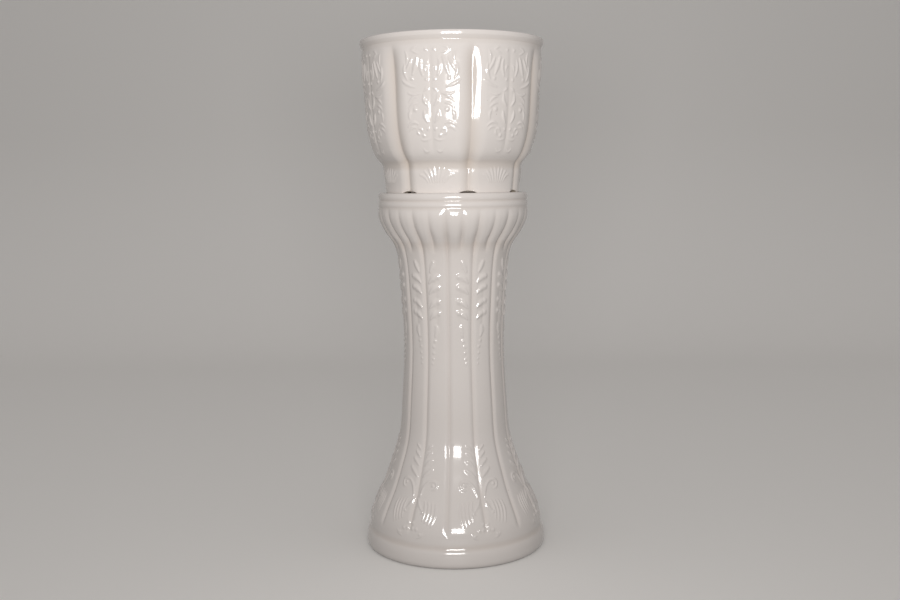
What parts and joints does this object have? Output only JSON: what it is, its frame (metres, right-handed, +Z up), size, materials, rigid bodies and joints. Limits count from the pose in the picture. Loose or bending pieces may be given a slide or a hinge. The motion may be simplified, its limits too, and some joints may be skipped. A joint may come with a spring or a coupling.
{
  "type": "jardiniere on stand",
  "caption": "Panelled ceramic plant pot with a round lip and arched foot, lifting off a tall hollow stand with a gadrooned top, waisted column and round base.",
  "frame": {"origin": "centre of the stand's foot, on the floor", "axes": "+Z up along the common axis of stand and jardiniere; the front faces -Y, +X to its right"},
  "size_m": [0.2619, 0.262, 0.727],
  "materials": {
    "pot_glaze": "gloss, warm white glaze over white earthenware",
    "stand_glaze": "gloss, warm white glaze over white earthenware"
  },
  "bodies": {
    "stand": {"stand": "stand_glaze"},
    "jardiniere": {"jardiniere": "pot_glaze"}
  },
  "joints": [
    {"name": "jardiniere_lift", "type": "slide", "parent": "stand", "child": "jardiniere", "axis": [0, 0, 1], "range_m": [0, 0.12]}
  ]
}
